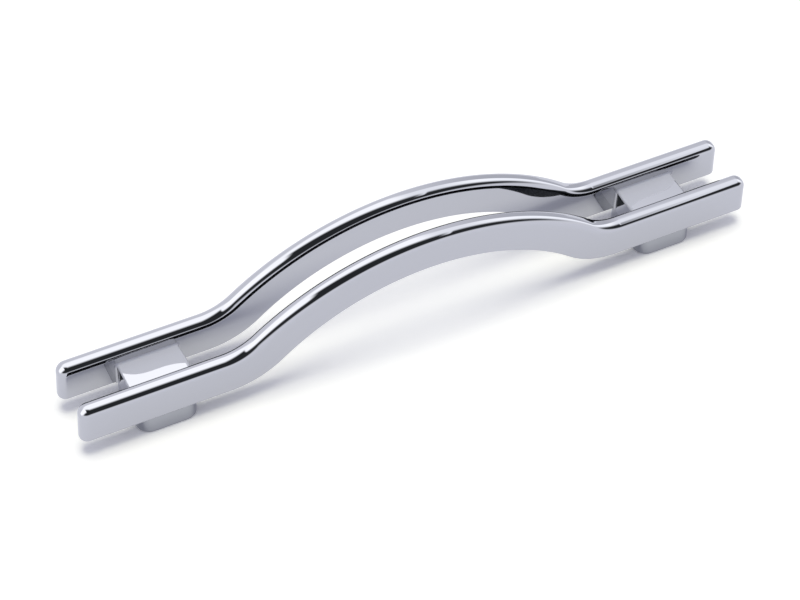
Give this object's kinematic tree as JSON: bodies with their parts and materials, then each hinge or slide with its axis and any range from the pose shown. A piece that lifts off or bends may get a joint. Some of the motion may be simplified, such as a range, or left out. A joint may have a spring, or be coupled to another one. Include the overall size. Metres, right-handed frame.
{
  "type": "bridge pull handle",
  "caption": "Drawer pull with slim parallel bars that rise in a rounded arch between flat ends, tied by posts whose feet take screws from behind.",
  "frame": {"origin": "midway between the two screw holes, in the plane that the feet stand on", "axes": "+X along the handle, +Z away from the drawer front, +Y across the bars"},
  "size_m": [0.1696, 0.0174, 0.0323],
  "materials": {
    "chrome": "polished plating"
  },
  "bodies": {
    "root": {"pull_handle": "chrome"}
  },
  "joints": []
}
